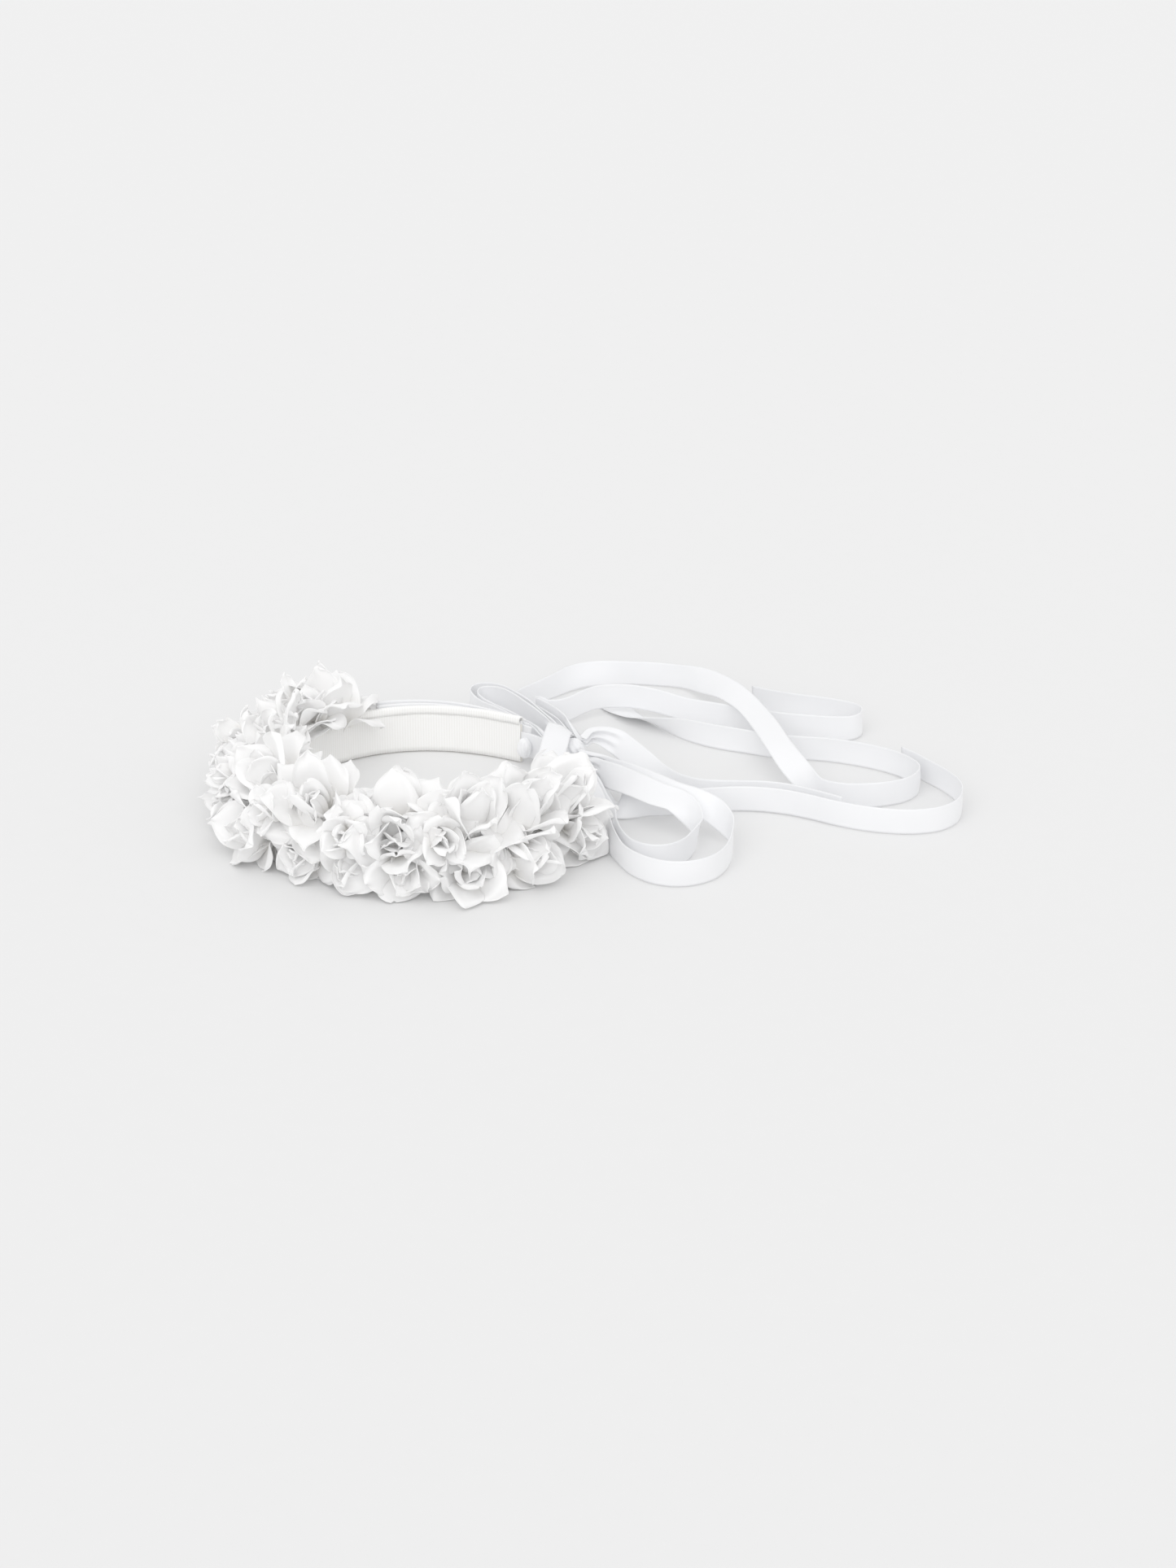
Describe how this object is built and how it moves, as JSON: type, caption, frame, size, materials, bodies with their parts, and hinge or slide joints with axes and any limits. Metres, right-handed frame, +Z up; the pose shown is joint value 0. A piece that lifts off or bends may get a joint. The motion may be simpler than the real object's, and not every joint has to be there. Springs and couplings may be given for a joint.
{
  "type": "flower crown",
  "caption": "Ring-shaped headband covered in folded satin ribbon roses, open at the back, where ribbon ties meet in a looped bow with long trailing tails.",
  "frame": {"origin": "centre of the head opening, level with the crown's lower edge", "axes": "+Z up through the head opening, -Y towards the forehead, +Y towards the bow at the back, +X towards the wearer's left"},
  "size_m": [0.2949, 0.4007, 0.0623],
  "materials": {
    "ribbon_satin": "ivory white satin ribbon with woven selvedges",
    "petal_satin": "ivory white satin folded into petals",
    "grosgrain": "ribbed matt grosgrain ribbon",
    "felt": "soft matt felt",
    "buckram": "stiffened woven board",
    "wire": "drawn millinery wire"
  },
  "bodies": {
    "crown": {"grosgrain_lining": "grosgrain", "band_core": "buckram", "edge_wire": "wire", "satin_cover": "ribbon_satin", "top_binding": "ribbon_satin", "felt_pad": "felt", "back_strap": "ribbon_satin", "strap_wrap": "ribbon_satin", "end_gather": "ribbon_satin", "far_tie_inner": "ribbon_satin", "far_tie_middle": "ribbon_satin", "far_tie_outer": "ribbon_satin", "near_tie_inner": "ribbon_satin", "near_tie_outer": "ribbon_satin", "inner_buds": "petal_satin", "outer_buds": "petal_satin", "upper_rose_1": "petal_satin", "upper_rose_2": "petal_satin", "upper_rose_3": "petal_satin", "upper_rose_4": "petal_satin", "upper_rose_5": "petal_satin", "upper_rose_6": "petal_satin", "upper_rose_7": "petal_satin", "upper_rose_8": "petal_satin", "lower_rose_1": "petal_satin", "lower_rose_2": "petal_satin", "lower_rose_3": "petal_satin", "lower_rose_4": "petal_satin", "lower_rose_5": "petal_satin", "lower_rose_6": "petal_satin", "lower_rose_7": "petal_satin", "lower_rose_8": "petal_satin", "lower_rose_9": "petal_satin", "lower_rose_10": "petal_satin", "lower_rose_11": "petal_satin", "lower_rose_12": "petal_satin"},
    "bow": {"bow_knot": "ribbon_satin", "front_loop_outer": "ribbon_satin", "front_loop_inner": "ribbon_satin", "back_loop_outer": "ribbon_satin", "back_loop_inner": "ribbon_satin", "tail_far": "ribbon_satin", "tail_middle": "ribbon_satin", "tail_short": "ribbon_satin", "tail_near": "ribbon_satin"}
  },
  "joints": [
    {"name": "bow_swivel", "type": "hinge", "parent": "crown", "child": "bow", "pos_m": [0, 0.0985, 0.015], "axis": [0, 0, 1], "range_deg": [0, 10]}
  ]
}
